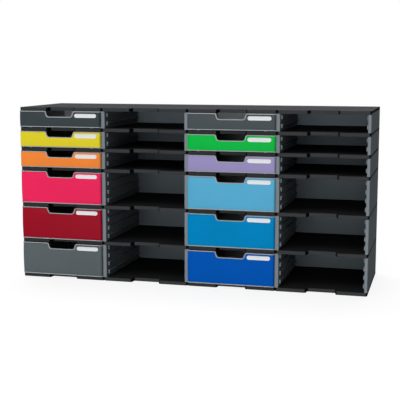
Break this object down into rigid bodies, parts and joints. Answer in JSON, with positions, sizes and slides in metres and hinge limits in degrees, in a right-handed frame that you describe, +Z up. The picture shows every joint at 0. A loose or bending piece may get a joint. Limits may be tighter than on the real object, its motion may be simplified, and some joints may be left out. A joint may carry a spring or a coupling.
{
  "type": "paper drawer organizer",
  "caption": "Desk sorting station of stacked moulded plates and walls: coloured pull-out paper drawers with blank labels beside open sheet bays, with finger recesses.",
  "frame": {"origin": "centre of the bounding box in plan, on the surface that the base plates rest on", "axes": "+X to the right of someone facing the drawers, -Y towards that person (drawers open along -Y), +Z up"},
  "size_m": [1.072, 0.3286, 0.5316],
  "materials": {
    "plate_black": "moulded, fine even grain, black",
    "wall_dark_grey": "moulded, smooth satin, dark grey",
    "back_panel_grey": "sheet, smooth satin, dark grey",
    "tray_grey": "moulded, smooth satin, mid grey",
    "label_white": "blank white card strip",
    "cover_charcoal": "moulded, satin, solid charcoal",
    "cover_yellow": "moulded, satin, solid yellow",
    "cover_orange": "moulded, satin, solid orange",
    "cover_pink": "moulded, satin, solid pink",
    "cover_crimson": "moulded, satin, solid crimson",
    "cover_mid_grey": "moulded, satin, solid mid grey",
    "cover_slate": "moulded, satin, solid slate",
    "cover_green": "moulded, satin, solid green",
    "cover_lilac": "moulded, satin, solid lilac",
    "cover_light_blue": "moulded, satin, solid light blue",
    "cover_blue": "moulded, satin, solid blue",
    "cover_dark_blue": "moulded, satin, solid dark blue"
  },
  "bodies": {
    "frame": {"top_plates": "plate_black", "shelf_plates_1": "plate_black", "shelf_plates_2": "plate_black", "shelf_plates_3": "plate_black", "shelf_plates_4": "plate_black", "shelf_plates_5": "plate_black", "base_plates": "plate_black", "end_walls_row_1": "wall_dark_grey", "end_walls_row_2": "wall_dark_grey", "end_walls_row_3": "wall_dark_grey", "end_walls_row_4": "wall_dark_grey", "end_walls_row_5": "wall_dark_grey", "end_walls_row_6": "wall_dark_grey", "middle_walls_row_1": "wall_dark_grey", "middle_walls_row_2": "wall_dark_grey", "middle_walls_row_3": "wall_dark_grey", "middle_walls_row_4": "wall_dark_grey", "middle_walls_row_5": "wall_dark_grey", "middle_walls_row_6": "wall_dark_grey", "low_back_panels": "back_panel_grey", "tall_back_panels": "back_panel_grey", "drawer_stops": "plate_black"},
    "drawer_c1_r1": {"drawer_tray_c1_r1": "tray_grey", "drawer_cover_c1_r1": "cover_charcoal", "drawer_label_c1_r1": "label_white"},
    "drawer_c1_r2": {"drawer_tray_c1_r2": "tray_grey", "drawer_cover_c1_r2": "cover_yellow", "drawer_label_c1_r2": "label_white"},
    "drawer_c1_r3": {"drawer_tray_c1_r3": "tray_grey", "drawer_cover_c1_r3": "cover_orange", "drawer_label_c1_r3": "label_white"},
    "drawer_c1_r4": {"drawer_tray_c1_r4": "tray_grey", "drawer_cover_c1_r4": "cover_pink", "drawer_label_c1_r4": "label_white"},
    "drawer_c1_r5": {"drawer_tray_c1_r5": "tray_grey", "drawer_cover_c1_r5": "cover_crimson", "drawer_label_c1_r5": "label_white"},
    "drawer_c1_r6": {"drawer_tray_c1_r6": "tray_grey", "drawer_cover_c1_r6": "cover_mid_grey", "drawer_label_c1_r6": "label_white"},
    "drawer_c3_r1": {"drawer_tray_c3_r1": "tray_grey", "drawer_cover_c3_r1": "cover_slate", "drawer_label_c3_r1": "label_white"},
    "drawer_c3_r2": {"drawer_tray_c3_r2": "tray_grey", "drawer_cover_c3_r2": "cover_green", "drawer_label_c3_r2": "label_white"},
    "drawer_c3_r3": {"drawer_tray_c3_r3": "tray_grey", "drawer_cover_c3_r3": "cover_lilac", "drawer_label_c3_r3": "label_white"},
    "drawer_c3_r4": {"drawer_tray_c3_r4": "tray_grey", "drawer_cover_c3_r4": "cover_light_blue", "drawer_label_c3_r4": "label_white"},
    "drawer_c3_r5": {"drawer_tray_c3_r5": "tray_grey", "drawer_cover_c3_r5": "cover_blue", "drawer_label_c3_r5": "label_white"},
    "drawer_c3_r6": {"drawer_tray_c3_r6": "tray_grey", "drawer_cover_c3_r6": "cover_dark_blue", "drawer_label_c3_r6": "label_white"}
  },
  "joints": [
    {"name": "drawer_c1_r1_slide", "type": "slide", "parent": "frame", "child": "drawer_c1_r1", "axis": [0, -1, 0], "range_m": [0, 0.255]},
    {"name": "drawer_c1_r2_slide", "type": "slide", "parent": "frame", "child": "drawer_c1_r2", "axis": [0, -1, 0], "range_m": [0, 0.255]},
    {"name": "drawer_c1_r3_slide", "type": "slide", "parent": "frame", "child": "drawer_c1_r3", "axis": [0, -1, 0], "range_m": [0, 0.255]},
    {"name": "drawer_c1_r4_slide", "type": "slide", "parent": "frame", "child": "drawer_c1_r4", "axis": [0, -1, 0], "range_m": [0, 0.255]},
    {"name": "drawer_c1_r5_slide", "type": "slide", "parent": "frame", "child": "drawer_c1_r5", "axis": [0, -1, 0], "range_m": [0, 0.255]},
    {"name": "drawer_c1_r6_slide", "type": "slide", "parent": "frame", "child": "drawer_c1_r6", "axis": [0, -1, 0], "range_m": [0, 0.255]},
    {"name": "drawer_c3_r1_slide", "type": "slide", "parent": "frame", "child": "drawer_c3_r1", "axis": [0, -1, 0], "range_m": [0, 0.255]},
    {"name": "drawer_c3_r2_slide", "type": "slide", "parent": "frame", "child": "drawer_c3_r2", "axis": [0, -1, 0], "range_m": [0, 0.255]},
    {"name": "drawer_c3_r3_slide", "type": "slide", "parent": "frame", "child": "drawer_c3_r3", "axis": [0, -1, 0], "range_m": [0, 0.255]},
    {"name": "drawer_c3_r4_slide", "type": "slide", "parent": "frame", "child": "drawer_c3_r4", "axis": [0, -1, 0], "range_m": [0, 0.255]},
    {"name": "drawer_c3_r5_slide", "type": "slide", "parent": "frame", "child": "drawer_c3_r5", "axis": [0, -1, 0], "range_m": [0, 0.255]},
    {"name": "drawer_c3_r6_slide", "type": "slide", "parent": "frame", "child": "drawer_c3_r6", "axis": [0, -1, 0], "range_m": [0, 0.255]}
  ]
}
